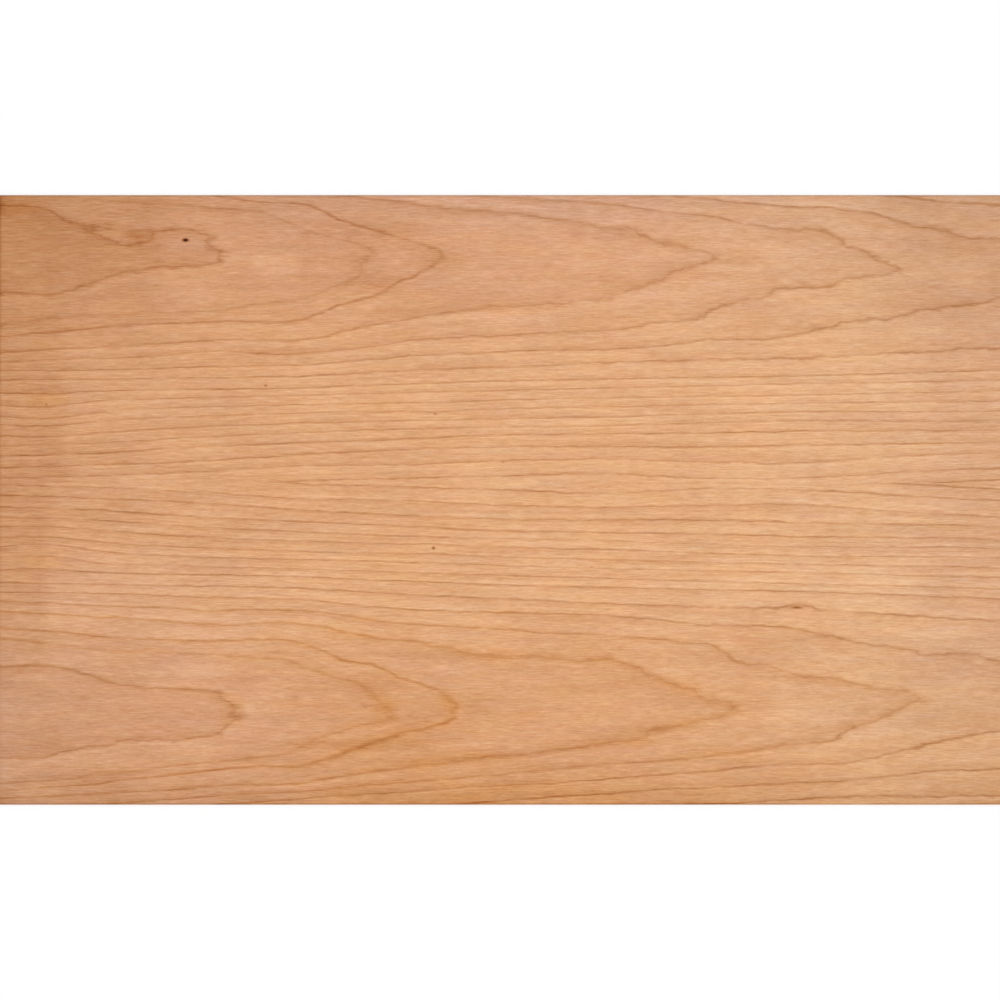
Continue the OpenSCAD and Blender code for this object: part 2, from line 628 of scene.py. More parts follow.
def map_corners(shape, stations):
    """Map place of each quad's four corners, in the order of quad_corners."""
    start, end = map_rows(shape)
    along = MAP_MARGIN + (1 - 2 * MAP_MARGIN) * shape.along / shape.length
    here, there = np.broadcast_arrays(along[:-1, None], along[1:, None])
    here = np.repeat(here, len(start), 1)
    there = np.repeat(there, len(start), 1)
    low = np.repeat(start[None, :], stations - 1, 0)
    high = np.repeat(end[None, :], stations - 1, 0)
    around = np.stack([np.stack([here, there, there, here], -1), np.stack([low, low, high, high], -1)], -1)
    ends = []
    columns = len(shape.across)
    for band in (LEFT_END_BAND, RIGHT_END_BAND):
        step = np.linspace(MAP_MARGIN, 1 - MAP_MARGIN, columns + 2)
        sides = np.stack([step[1:-1][:-1], step[1:-1][1:]], -1)
        sides = np.vstack([sides, [step[-2], step[-1]], [step[1], step[0]]])
        across = np.stack([sides[:, 0], sides[:, 1], sides[:, 1], sides[:, 0]], -1)
        height = np.tile([band[1], band[1], band[0], band[0]], (len(sides), 1))
        ends.append(np.stack([across, height], -1))
    return np.vstack([around.reshape(-1, 4, 2), ends[0], ends[1][:, ::-1]])


print("map bands end at", RIGHT_END_BAND[1])

# %% [markdown]
# ## Light and dark over the whole sheet
#
# Apart from its figure, a sheet of cherry isn't one even colour. Both ends are darker, with a soft border,
# the wood near the outer edges is mostly darker too, and the middle is palest. The outer parts of the
# leaves, cut nearer to the heart, are browner. This could be noise as well, but then the ends and the
# middle wouldn't be where they are on this sheet, so it is written down.
#
# Tone is counted in steps of a 0 to 255 grey scale. Each list gives it at places along the grain,
# and everything between them is filled in. The outer list is added with a share that grows from nothing
# to all between two distances from the splice, and the edge list with a share that grows near the edge.

# %% Broad tone
OUTER_FROM, OUTER_TO = 50.0, 115.0
EDGE_FROM = 26.0
MIDDLE_TONES = [(0, 163), (15, 165), (40, 164.5), (100, 170), (150, 171.5), (200, 174), (225, 174.5),
    (275, 177), (350, 178), (440, 179), (500, 174), (610, 172)]
OUTER_TONES = {
    "narrow_leaf": [(0, -9.5), (10, -8), (30, -7.5), (45, -14.5), (75, -14), (85, -9), (100, -7),
        (125, -6), (175, -7.5), (325, -7), (360, -2), (385, -2), (425, -5.5), (460, -9.5), (610, -9)],
    "wide_leaf": [(0, -2), (30, -2), (60, -4), (85, -1), (125, -2), (150, -3.5), (200, -7.5), (250, -9),
        (325, -9), (400, -6), (430, -5), (460, -3.5), (610, -3.5)],
}
EDGE_TONES = {
    "narrow_leaf": [(0, -6), (60, -3), (175, -4), (215, 1.5), (310, -2.5), (610, -5)],
    "wide_leaf": [(0, -10), (100, -13), (125, -15), (200, -14), (300, -14), (400, -13), (430, -8),
        (610, -7)],
}
print("tone at the splice from", MIDDLE_TONES[0][1], "to", max(tone for _, tone in MIDDLE_TONES))

# %% [markdown]
# Cherry also changes its hue from place to place. Warmth runs from pinkish, below 0, to orange, above 0.
# The olive share runs from rose, below 0, to olive, above 0. Their lists are added up just like the lists
# of the tone; the olive share has one number for the edge instead of a list.

# %% Broad warmth and olive share
MIDDLE_WARMTH = [(0, -0.05), (30, 0.08), (60, 0.17), (100, 0.22), (150, 0.35), (200, 0.45), (300, 0.37),
    (375, 0.32), (430, 0.15), (460, -0.22), (480, -0.32), (610, -0.4)]
OUTER_WARMTH = {
    "narrow_leaf": [(0, 0.0), (100, -0.3), (150, -0.6), (250, -0.65), (350, -0.6), (430, -0.4),
        (460, -0.3), (610, -0.25)],
    "wide_leaf": [(0, -0.9), (30, -0.45), (125, -0.45), (175, -0.05), (250, 0.03), (325, -0.1),
        (375, -0.1), (430, -0.1), (460, 0.12), (610, 0.12)],
}
EDGE_WARMTH = {
    "narrow_leaf": [(0, 0.1), (15, 0.0), (30, -0.35), (175, -0.7), (400, -0.6), (460, -0.5), (610, -0.4)],
    "wide_leaf": [(0, -0.3), (75, -0.25), (175, 0.35), (250, 0.5), (350, 0.4), (430, 0.1), (610, 0.0)],
}
MIDDLE_OLIVE = [(0, 0.15), (325, 0.15), (350, 0.3), (400, 0.35), (440, 0.5), (610, 0.5)]
OUTER_OLIVE = {
    "narrow_leaf": [(0, 0.05), (20, 0.05), (45, -0.15), (90, -0.55), (175, -0.6), (325, -0.5),
        (355, -0.3), (375, 0.0), (450, 0.3), (610, 0.3)],
    "wide_leaf": [(0, 0.1), (40, -0.05), (90, -0.45), (325, -0.35), (360, -0.15), (400, 0.05),
        (470, 0.45), (610, 0.45)],
}
EDGE_OLIVE = 0.35
print("olive at the outer edge", EDGE_OLIVE, "more")

# %% [markdown]
# A strip at the left end is darker, and faintly a wide one at the right. For each leaf the first band
# gives where it ends, its tone, and how far from the splice it starts to fade out. The far band gives
# where it starts and its tone, and it is gone where the outer share is full.
#
# A leaf also has patches of its own, lighter or darker and warmer or cooler than the wood round them: the
# middle of the patch, its half length and half width, how much lighter it is, and how much warmer.

# %% Bands and patches
END_BANDS = {"narrow_leaf": (33.0, -11.0, 1000.0), "wide_leaf": (25.0, -11.0, 30.0)}
BAND_FADE = 120.0
FAR_BAND = (463.0, -2.5)
BAND_BORDER = 7.0
PATCHES = {
    "narrow_leaf": [
        ((6, 138), (16, 3.5), -7, 0.6),
        ((0, 139), (3, 6), -16, 0.0),
        ((42, 121), (16, 8), -4, 0.0),
        ((22, 133), (16, 4), -3, 0.0),
        ((10, 105), (14, 5), 4, 0.0),
        ((55, 86), (55, 5), 3.5, 0.0),
        ((45, 142.5), (27, 3), 9, -0.1),
        ((24.5, 41.5), (11, 4), 2, 0.9),
        ((93, 120.5), (15, 6), 5, -0.3),
        ((68.5, 124), (7, 3), -20, 0.3),
        ((85, 95), (35, 9), 4, 0.0),
        ((188, 109), (6, 7), -2, 0.0),
        ((215, 95), (35, 10), -4, 0.0),
        ((138, 109), (12, 7), 9, 0.0),
        ((188, 127), (28, 4.5), -13, 0.0),
        ((230, 48), (110, 22), 0, -0.1),
        ((200, 91), (35, 9), 0, 0.4),
        ((223, 112), (12, 6), -7, 0.1),
        ((345, 120.5), (14, 3), -9, 0.2),
        ((350, 105), (16, 3), -7, 0.2),
        ((368, 113), (13, 5), -10, 0.1),
        ((265, 87), (35, 2.5), -3, 0.4),
        ((485, 107), (28, 13), 1, 0.1),
        ((478, 88), (35, 5), -5, 0.2),
        ((473, 103), (8, 2), -4, 0.0),
    ],
    "wide_leaf": [
        ((21.5, 39.5), (10, 3), 3, 0.8),
        ((60, 66), (100, 27), 5, -0.3),
        ((212, 62), (25, 5), 6, 0.0),
        ((445, 55), (20, 20), 3.5, 0.0),
        ((14, 92), (15, 4.5), -6, 0.0),
        ((92, 94), (35, 4), 6, 0.0),
        ((137, 103), (12, 5), 6, 0.0),
        ((16, 130), (20, 7), -6, 0.0),
        ((13, 141), (14, 4), -1, 0.45),
        ((117, 114), (7, 8), -2, 0.4),
        ((190, 111), (8, 8), -2, 0.2),
        ((192, 112.5), (5, 3.5), -5, 0.4),
        ((153, 131), (14, 4), -4, 0.1),
        ((192, 130.5), (30, 3.5), -14, 0.1),
        ((224, 112), (5, 8), -4, 0.2),
        ((238, 111), (10, 8), -4, 0.1),
        ((255, 85.5), (55, 3), -3, 0.1),
        ((232, 93), (22, 4), 5, 0.0),
        ((237, 103), (12, 5), 4, 0.0),
        ((388, 103), (12, 5), 5, 0.0),
        ((45, 113), (18, 6), 3.5, 0.0),
        ((55, 143), (35, 4), 3, 0.0),
        ((212, 122), (13, 4), -5, 0.0),
        ((225, 134), (25, 4), 5, 0.0),
        ((300, 131.5), (32, 4), -5, 0.1),
        ((240, 139), (60, 3), -3, 0.1),
        ((337, 122), (14, 4), -5, 0.1),
        ((380, 112), (10, 6), -6, 0.0),
        ((362, 93), (10, 4.5), 5, 0.0),
        ((400, 118), (24, 10), 6, 0.0),
        ((28, 150), (18, 2.5), 4, 0.0),
        ((0, 159), (10, 3), -12, 0.0),
        ((370, 136), (40, 4), -1, 0.1),
        ((489, 104.5), (6, 3), -4, 0.0),
        ((482, 70), (26, 7), 8, 0.1),
        ((492, 160), (16, 2.5), -6, 0.0),
    ],
}


def counts(lists):
    """How many entries each leaf's list has."""
    return {leaf: len(entries) for leaf, entries in lists.items()}


print("patches", counts(PATCHES))

# %% [markdown]
# Now the lists, the bands and the patches are put together. Every share has a soft start and a soft end,
# so that no border shows. A patch is nearly flat in its middle, as the real ones are.

# %% The broad look of a place
def filled_in(stops, along):
    """The values between the stops, drawn as straight stretches."""
    return np.interp(along, [place for place, _ in stops], [value for _, value in stops])


def gentle(share):
    """A step from 0 to 1 with a soft start and a soft end: three times the square, less twice the cube."""
    share = share.clip(0.0, 1.0)
    return share * share * (3.0 - 2.0 * share)


def distance_squared(along, across, middle, size):
    """Square of the distance to the middle, counted in half lengths and half widths."""
    return ((along - middle[0]) / size[0]) ** 2 + ((across - middle[1]) / size[1]) ** 2


def broad_look(shape, along, across):
    """Tone, warmth and olive share of each place: the lists along the grain, the bands at both ends, and
    the leaf's own patches. A patch is the exponential of minus the fourth power of the distance."""
    leaf = shape.leaf
    outer = gentle((across - OUTER_FROM) / (OUTER_TO - OUTER_FROM))
    edge = gentle((across - shape.width + EDGE_FROM) / EDGE_FROM)
    tone = filled_in(MIDDLE_TONES, along) + outer * filled_in(OUTER_TONES[leaf], along)
    tone = tone + edge * filled_in(EDGE_TONES[leaf], along)
    warmth = filled_in(MIDDLE_WARMTH, along) + outer * filled_in(OUTER_WARMTH[leaf], along)
    warmth = warmth + edge * filled_in(EDGE_WARMTH[leaf], along)
    olive = filled_in(MIDDLE_OLIVE, along) + outer * filled_in(OUTER_OLIVE[leaf], along)
    olive = olive + edge * EDGE_OLIVE
    end, band_tone, reach = END_BANDS[leaf]
    fading = gentle(1 + (reach - across) / BAND_FADE)
    tone = tone + band_tone * gentle((end + BAND_BORDER - along) / (2 * BAND_BORDER)) * fading
    start, band_tone = FAR_BAND
    tone = tone + band_tone * gentle((along - start + BAND_BORDER) / (2 * BAND_BORDER)) * (1 - outer)
    for middle, size, lighter, warmer in PATCHES[leaf]:
        patch = np.exp(-distance_squared(along, across, middle, size) ** 2)
        tone = tone + lighter * patch
        warmth = warmth + warmer * patch
    return tone, warmth, olive


print("tone in the middle of the sheet", filled_in(MIDDLE_TONES, 305))

# %% [markdown]
# ## One year is not like the next
#
# Each year has its own look: some grew pale, some dark, and each ends in a line of its own strength. The
# list holds four numbers for each ring: how much paler the wood just outside the line is, how much
# paler the wood just inside it is, how dark the line itself is, and how broad. Ring -1 has no line on the
# sheet; its numbers are for the wood inside the innermost tongue.

# %% The years
YEARS = {
    -1: (-3, -5, 12, 1.0), 0: (6, -4, 23, 1.1), 1: (-4, 0, 11, 1.6), 2: (1, 2, 27, 1.2),
    3: (7, -1, 19, 1.3), 4: (2, -3, 20, 1.1), 5: (4, -3, 24, 1.0), 6: (4, 0, 25, 1.0),
    7: (6, -1, 26, 1.0), 8: (7, 0, 16, 1.0), 9: (6, 3, 20, 1.0), 10: (3, 2, 18, 1.0),
    11: (5, -1, 20, 1.0), 12: (3, 1, 16, 1.0), 13: (2, 1, 26, 1.0), 14: (2, -2, 24, 1.0),
    15: (6, -3, 17, 1.0), 16: (4, 2, 24, 1.0), 17: (4, -4, 24, 1.0),
}
print(len(YEARS), "years")

# %% [markdown]
# Near the heart the lines are stained orange by gum, faintly on the narrow leaf and more on the wide one.
# The list gives the share of stained wood at a few rings. In some places, mostly round the tips and along
# the flanks of the flames, a line is also broader and softer: each has its middle, its half length and
# half width, and how much broader the line is there.

# %% Stained lines and broader lines
STAINED_LINES = {
    "narrow_leaf": [(0, 0.05), (3, 0.1), (5, 0.0)],
    "wide_leaf": [(0, 0.2), (1, 0.35), (2, 0.55), (3, 0.5), (4, 0.25), (6, 0.0)],
}
BROAD_LINES = {
    "narrow_leaf": [
        ((60, 128), (40, 7), 0.4),
        ((60, 103), (50, 7), 0.4),
        ((100, 116), (14, 9), 0.8),
        ((185, 110), (10, 9), 0.9),
        ((216, 112), (7, 6), 0.9),
        ((245, 136), (60, 4), 0.8),
        ((265, 88), (30, 4), 0.6),
        ((345, 112), (20, 9), 0.3),
        ((468, 127), (25, 5), 0.7),
    ],
    "wide_leaf": [
        ((60, 99), (45, 5), 0.8),
        ((118, 113), (12, 8), 1.1),
        ((145, 132), (30, 6), 1.2),
        ((190, 110), (13, 10), 1.0),
        ((196, 127), (30, 5), 1.2),
        ((224, 112), (8, 8), 0.9),
        ((262, 85.5), (60, 5), 1.3),
        ((240, 138), (90, 6), 1.1),
        ((355, 112), (22, 9), 1.3),
        ((320, 97), (32, 7), 0.9),
        ((330, 126), (32, 6), 0.6),
        ((370, 135), (40, 6), 0.4),
        ((458, 108), (24, 9), 0.8),
    ],
}
print("broader lines", counts(BROAD_LINES))

# %% [markdown]
# Where a bud was, the fibres and the rings bow round it. The routes could be given more places there, but
# a bell curve says the same in one line: the middle of the bow, its half length and half width, and what
# it adds to the ring number. Below 0, it pushes the growth lines towards the splice.

# %% Bows round the small knots
BOWS = {
    "narrow_leaf": [((218, 36), (9, 4), -0.22)],
    "wide_leaf": [((217, 33), (9, 5), -0.22), ((399, 62), (9, 4), -0.17)],
}


def bell_curve(along, across, middle, size):
    """One at the middle, falling with the exponential of minus the distance squared."""
    return np.exp(-distance_squared(along, across, middle, size))


def bowed(shape, ring, along, across):
    """Ring numbers with the bows added."""
    for middle, size, rings in BOWS[shape.leaf]:
        ring = ring + rings * bell_curve(along, across, middle, size)
    return ring


print("bows", counts(BOWS))

# %% [markdown]
# ## What the mesh carries
#
# The finish needs to know, at each place of a leaf, where it lies in the log and what the lists say about
# it. That could be painted into images, but numbers on the mesh are as sharp as its points are close, and
# the shader draws everything finer from them. The gap is the distance from one growth line to the next.
# The slant is how many rings are crossed in a millimetre along the grain.

# %% The figure on the show face
GAP_RANGE = (2.5, 100.0)


def figure_of(shape):
    """All that the show face carries, by name. The gap is one over the slope of the ring number, and the
    looks of the years are filled in from one ring to the next. The mesh carries three numbers under each
    name, so the last one, which has only two, gets a zero."""
    along, across = np.meshgrid(shape.along, shape.across, indexing="ij")
    ring = bowed(shape, ring_numbers(shape.leaf, along, across), along, across)
    slant, slope_across = np.gradient(ring, shape.along, shape.across)
    gap = (1.0 / np.hypot(slant, slope_across)).clip(*GAP_RANGE)
    early, late, line, broad = (np.interp(ring, list(YEARS), look) for look in zip(*YEARS.values()))
    for middle, size, broader in BROAD_LINES[shape.leaf]:
        broad = broad + broader * bell_curve(along, across, middle, size)
    stain = filled_in(STAINED_LINES[shape.leaf], ring)
    tone, warmth, olive = broad_look(shape, along, across)
    return {
        "figure": [ring, gap, line],
        "year": [early, late, stain],
        "broad_look": [tone, warmth, olive],
        "line_look": [broad, slant, np.zeros_like(ring)],
    }


print("gaps are kept from", GAP_RANGE[0], "to", GAP_RANGE[1], "mm")

# %% [markdown]
# ## Build the leaves
#
# Each point of the profile takes its figure from a column of the show face, so the glue face shows the
# same flames. It lies deeper in the log, where each place is a little nearer the heart. The wide leaf was
# the next slice, so all its places lie one thickness deeper: its fibres are like those of the narrow leaf,
# but not the same. It lies on the other side of the splice, so its quads have to be turned over.

# %% Build a leaf
SLICE_RINGS = 0.15
SHARP_ANGLE = 30


def add_vectors(mesh, name, numbers):
    """Gives the mesh three numbers for each vertex, under one name."""
    attribute = mesh.attributes.new(name, "FLOAT_VECTOR", "POINT")
    attribute.data.foreach_set("vector", np.stack(numbers, -1).astype(np.float32).ravel())


def leaf_mesh(shape):
    """The closed mesh of a leaf with its map, the depth of each point below the show face, and the column
    that each point of the profile takes its figure from."""
    along, across, height, column = leaf_grid(shape)
    stations, points = along.shape
    x = (shape.left + along) * MM
    y = (shape.splice + shape.side * across) * MM
    z = (shape.bottom + height) * MM
    around, left, right = quad_corners(shape, stations, points)
    corners = np.vstack([around, left, right])
    places = map_corners(shape, stations)
    if shape.side < 0:
        corners = corners[:, ::-1]
        places = places[:, ::-1]
    mesh = bpy.data.meshes.new(shape.leaf + "_face")
    mesh.from_pydata(np.stack([x, y, z], -1).reshape(-1, 3), [], corners.tolist())
    mesh.shade_smooth()
    mesh.set_sharp_from_angle(angle=math.radians(SHARP_ANGLE))
    layer = mesh.uv_layers.new(name="OFBake")
    layer.uv.foreach_set("vector", places.astype(np.float32).ravel())
    depth = shape.thickness - height
    add_vectors(mesh, "place_in_log", [along, across, depth + shape.slice_depth])
    return mesh, depth, column


def make_leaf(leaf):
    """One leaf that carries its figure."""
    shape = LeafShape(leaf)
    mesh, depth, column = leaf_mesh(shape)
    carried = {}
    for name, numbers in figure_of(shape).items():
        carried[name] = [values[:, column] for values in numbers]
    ring = carried["figure"][0] - SLICE_RINGS * depth / shape.thickness
    carried["figure"][0] = ring
    for name, numbers in carried.items():
        add_vectors(mesh, name, numbers)
    piece = bpy.data.objects.new(leaf + "_face", mesh)
    bpy.context.scene.collection.objects.link(piece)
    rings = (round(ring.min(), 1), round(ring.max(), 1))
    print(leaf, 2 * len(mesh.polygons), "triangles, rings from and to", rings)
    return piece


pieces = {leaf: make_leaf(leaf) for leaf in LEAVES}

# %% [markdown]
# ## The finish
#
# Raw cherry is matt, and nearly all of its look is colour. Everything that makes it lighter or darker is
# added up as one tone, and a single ramp turns the tone into a colour: pale wood is a light peach, a
# growth line is brown, a knot nearly black. Real cherry keeps to such a path too, because its darker parts
# only hold more of the same pigment.

# %% Colours of cherry
GREY_STEPS = 255.0


def linear(red, green, blue):
    """A colour given as 0 to 255 display values, as the linear numbers that a shader takes, by the two
    formulas of the sRGB standard: a straight line for the darkest values and a power for the others."""
    shares = np.array([red, green, blue]) / GREY_STEPS
    return tuple(np.where(shares <= 0.04045, shares / 12.92, ((shares + 0.055) / 1.055) ** 2.4))


TONE_COLOURS = [
    (20, (30, 0, 0)),
    (60, (110, 55, 30)),
    (100, (155, 90, 43)),
    (130, (182, 121, 76)),
    (150, (199, 141, 98)),
    (170, (217, 161, 119)),
    (200, (243, 193, 152)),
    (225, (255, 219, 182)),
]
RAMP = [(tone / GREY_STEPS, linear(*colour)) for tone, colour in TONE_COLOURS]
print("pale wood", [round(c, 3) for c in linear(217, 161, 119)])

# %% [markdown]
# A growth line is a thin dark line. The late wood in front of it darkens softly towards it, and the early
# wood behind it is the palest of the year. A line is wider where the knife met the ring at a low angle,
# so its width grows with the gap between rings, and the early wood is less pale there.
#
# It isn't drawn with a ruler. It wanders by a fraction of a millimetre, and it fades and darkens along its
# way. Where it crosses the grain, at the tips of the flames, each bundle of fibres carries it a little
# farther or less far along, so it is feathered there. The strength and the breadth of each line come from
# the mesh. A broader line is less dark, or it would weigh too much.

# %% Growth lines and rings
SPACING = 5.0
LINE_WIDTH = 0.42
WIDTH_GROWTH = 0.4
WANDER = 0.07
WANDER_NOISES = [(18.0, 9.0, 1.0, 1.0), (7.0, 4.0, 1.0, 1.0)]
SLIP = 0.23
SLIP_GRAIN = (9.0, 0.8)
FRAY = 0.0025
FRAY_GRAIN = (6.0, 0.9)
UNEVEN_NOISES = [(40.0, 5.0, 0.24), (10.0, 1.2, 0.14)]
DARKENING = 1.5
BREADTH_PALING = 0.5
SHADOW_REACH = 1.7
SHADOW = 3.5
PALE_REACH = 1.2
PALE = 3.5
FLAT_CUT = 0.3
STAIN_SPREAD = 0.2
SHADOW_STAIN = 0.4


def shifted_ring(finish, place, ring, gap, slant, wide):
    """The ring number, moved a little. It wanders by noise times the square of the line's width over the
    gap, slips along the grain by noise times the slant, and frays by a very fine noise."""
    wander = finish.noises(place, WANDER_NOISES) * wide * wide * WANDER / gap
    slip = finish.noise(place, *SLIP_GRAIN, detail=1.0) * SLIP * slant
    fray = finish.noise(place, *FRAY_GRAIN, roughness=0.6) * FRAY
    return ring + wander + slip + fray


def growth_tone(finish, place, figure, year_look, line_look):
    """Tone of the growth lines and of the years between them, and the share of stained wood. A line is the
    exponential of minus the square of the distance to it, counted in line widths. From one line to the
    next the ground goes from early to late wood with the power DARKENING. The shade in front of a line and
    the palest wood behind it are exponentials of minus the distance to it. The stain is a wider bell, the
    line to the power STAIN_SPREAD, plus a part of the shade."""
    ring, gap, strength = figure
    early, late, stain = year_look
    broad, slant, _ = line_look
    wide = (gap / SPACING) ** WIDTH_GROWTH
    year = shifted_ring(finish, place, ring, gap, slant, wide).math("FRACT")
    before = (1.0 - year) * gap / wide
    behind = year * gap / wide
    nearest = behind.math("MINIMUM", before) / broad / LINE_WIDTH
    line = (nearest * nearest * -1.0).math("EXPONENT")
    shade = (before / broad / -SHADOW_REACH).math("EXPONENT")
    pale = (behind / -PALE_REACH).math("EXPONENT")
    flat = (gap / SPACING) ** -FLAT_CUT
    early = early * flat
    ground = early + (late - early) * year ** DARKENING
    uneven = finish.noises(place, UNEVEN_NOISES) + 1.0
    line_tone = line / broad ** BREADTH_PALING * strength * uneven
    tone = ground - line_tone - shade * broad * SHADOW + pale / broad * flat * PALE
    return tone, (line ** STAIN_SPREAD + shade * SHADOW_STAIN) * stain


print("a line over rings", SPACING, "mm apart is", 2 * LINE_WIDTH, "mm wide")

# %% [markdown]
# Between the growth lines the wood is streaked by its fibres and vessels. Each size of streak is a noise
# of its own, stretched along the grain: fine streaks a few millimetres long, softer ones, and clouds a few
# centimetres long. Other lines were laid down with the rings, so their noise is measured in rings and
# follows the flames; they fade where the rings lie far apart. A few dark flecks are spots of gum, where
# one more noise passes a limit.

# %% Fibres
STREAKS = [(7.5, 0.64, 5.0, 2.0, 0.65), (2.0, 0.45, 1.4, 1.0), (14.0, 1.5, 1.1)]
CLOUDS = [(70.0, 4.0, 1.7), (45.0, 12.0, 1.9)]
LINES_OF_A_RING = [(45.0, 4.0, 1.8, 2.0), (25.0, 9.0, 1.7, 1.0)]
LINE_FADE = 0.6
FLECK_GRAIN = (2.6, 0.6)
FLECK_LIMIT = 1.7
FLECK_TONE = 6.0


def fibre_tone(finish, place, figure):
    """Tone of the streaks, the clouds, the lines within a ring and the flecks. Each entry for the lines
    within a ring gives their length, how many there are to a ring, their weight and their detail."""
    ring, gap, _ = figure
    along, _, depth = finish.parts(place)
    tone = finish.noises(place, STREAKS + CLOUDS)
    fading = (gap / SPACING) ** LINE_FADE
    for length, count, weight, detail in LINES_OF_A_RING:
        in_rings = finish.node("ShaderNodeCombineXYZ", inputs=[along / length, ring * count, depth])
        tone = tone + finish.noise(in_rings, 1.0, 1.0, detail) * weight / fading
    fleck = finish.noise(place, *FLECK_GRAIN, detail=1.0) - FLECK_LIMIT
    return tone - fleck.math("MAXIMUM", 0.0) * FLECK_TONE


print("streaks", len(STREAKS), "clouds", len(CLOUDS), "lines of a ring", len(LINES_OF_A_RING))

# %% [markdown]
# Knots as small as a pin's head are left by buds that never became twigs. They are hardly larger than the
# distance between two points of the mesh, so they are drawn in the shader, each by the distance to its
# middle, counted in its own half length and half width: a small ellipse along the grain. Some have a pale
# ring round them, where the fibres bend past. The list gives the middle, the size, the tone, which is
# below 0 for dark, and the strength of the pale ring. The longest ones are streaks of gum.

# %% Small knots
SMALL_KNOTS = {
    "narrow_leaf": [
        ((93.2, 121.6), (1.4, 0.8), -180, 1.0),
        ((133.3, 48.7), (0.8, 0.7), -50, 0.2),
        ((218.2, 34.6), (0.8, 0.7), -34, 0.2),
        ((252.1, 10.5), (0.7, 0.5), -26, 0.0),
        ((23.5, 39.3), (0.6, 0.6), -32, 0.0),
        ((113.0, 115.8), (2.8, 0.5), -24, 0.0),
        ((112.0, 113.6), (2.4, 0.4), -16, 0.0),
        ((126.0, 114.0), (1.2, 0.5), -10, 0.0),
    ],
    "wide_leaf": [
        ((217.3, 32.5), (0.8, 0.7), -85, 0.3),
        ((399.3, 62.3), (2.4, 0.6), -64, 0.2),
        ((397.5, 62.4), (5.5, 1.0), -16, 0.0),
        ((296.5, 42.1), (0.6, 0.4), -28, 0.0),
        ((148.3, 106.8), (1.6, 0.8), -16, 0.0),
        ((44.3, 120.6), (1.4, 1.0), -10, 0.0),
        ((258.2, 79.0), (2.2, 0.5), -13, 0.0),
        ((297.8, 96.0), (1.5, 0.6), -12, 0.0),
        ((410.0, 121.5), (0.9, 0.8), -10, 0.0),
        ((239.0, 105.6), (5.0, 0.4), -15, 0.0),
        ((242.0, 108.4), (6.0, 0.4), -16, 0.0),
        ((236.5, 111.6), (4.0, 0.4), -14, 0.0),
    ],
}
HALO_LENGTH = 1.82
HALO_WIDTH = 2.6
HALO_TONE = 9.0
THROUGH = 1000.0


def bell(finish, place, middle, size):
    """One at the middle, falling with the exponential of minus the distance squared, in half lengths and
    half widths. It goes through the whole leaf, so its half depth is large."""
    apart = finish.node("ShaderNodeVectorMath", {"operation": "SUBTRACT"}, [place, (*middle, 0.0)])
    counted = finish.node("ShaderNodeVectorMath", {"operation": "DIVIDE"}, [apart, (*size, THROUGH)])
    product = {"operation": "DOT_PRODUCT"}
    squared = finish.node("ShaderNodeVectorMath", product, [counted, counted], output="Value")
    return (squared * -1.0).math("EXPONENT")


def knot_tone(finish, place, knots):
    """Tone of the small knots with their pale rings."""
    tone = 0.0
    for middle, size, knot, halo in knots:
        tone = bell(finish, place, middle, size) * knot + tone
        if halo > 0:
            around = (size[0] * HALO_LENGTH, size[1] * HALO_WIDTH)
            tone = bell(finish, place, middle, around) * (halo * HALO_TONE) + tone
    return tone


print("small knots", counts(SMALL_KNOTS))

# %% [markdown]
# The outer edge and the ends are darker in a rim about a millimetre wide. For each leaf the three numbers
# are the tone of the outer edge, the tone of the ends at the splice, and what is added to it by the time
# it reaches the outer edge.

# %% Rims
RIMS = {"narrow_leaf": (-20, -16, -14), "wide_leaf": (-40, -14, 8)}
EDGE_RIM = 0.62
END_RIM = 0.8


def rim_tone(finish, place, shape):
    """Tone of the rims: two exponentials of minus a distance squared, one of the distance to the outer
    edge and one of the distance to the nearer end. The second changes evenly from the splice outwards."""
    along, across, _ = finish.parts(place)
    edge_tone, end_tone, end_change = RIMS[shape.leaf]
    edge = (across - shape.width) / EDGE_RIM
    end = along.math("MINIMUM", shape.length - along) / END_RIM
    at_edge = (edge * edge * -1.0).math("EXPONENT") * edge_tone
    end_tone = across * (end_change / shape.width) + end_tone
    return at_edge + (end * end * -1.0).math("EXPONENT") * end_tone


print("rims", EDGE_RIM, "and", END_RIM, "mm wide")

# %% [markdown]
# All tones are now added up, and the ramp turns the sum into a colour. Two tints change the hue of that
# colour but hardly its tone: one from pink to orange by the warmth, and one from rose to olive by the
# olive share. Half way between the two ends of a tint is white, which changes nothing. Both shares get
# soft noises of their own, because no two bundles of fibres have quite the same hue. Raw wood has hardly
# any gloss, and its fibres stand up by a few hundredths of a millimetre.

# %% The finish of a leaf
PINK_TINT = (0.91, 1.0, 1.34, 1.0)
ORANGE_TINT = (1.09, 1.0, 0.66, 1.0)
ROSE_TINT = (1.02, 0.974, 1.0, 1.0)
OLIVE_TINT = (0.98, 1.026, 1.0, 1.0)
NO_TINT = 0.5
WARMTH_SHARE = 0.25
WARMTH_NOISES = [(26.0, 6.0, 0.12), (90.0, 25.0, 0.1), (14.0, 1.1, 0.1)]
OLIVE_SHARE = 0.5
OLIVE_NOISES = [(30.0, 5.0, 0.1), (12.0, 1.3, 0.07)]
ROUGHNESS = 0.7
UNEVEN_ROUGHNESS = 0.03
GLOSS = 0.15
FIBRE_GRAIN = (6.0, 0.5)
FIBRE_STRENGTH = 0.25
FIBRE_HEIGHT = 0.00001
MIX_FIRST, MIX_SECOND, MIX_RESULT = 6, 7, 2


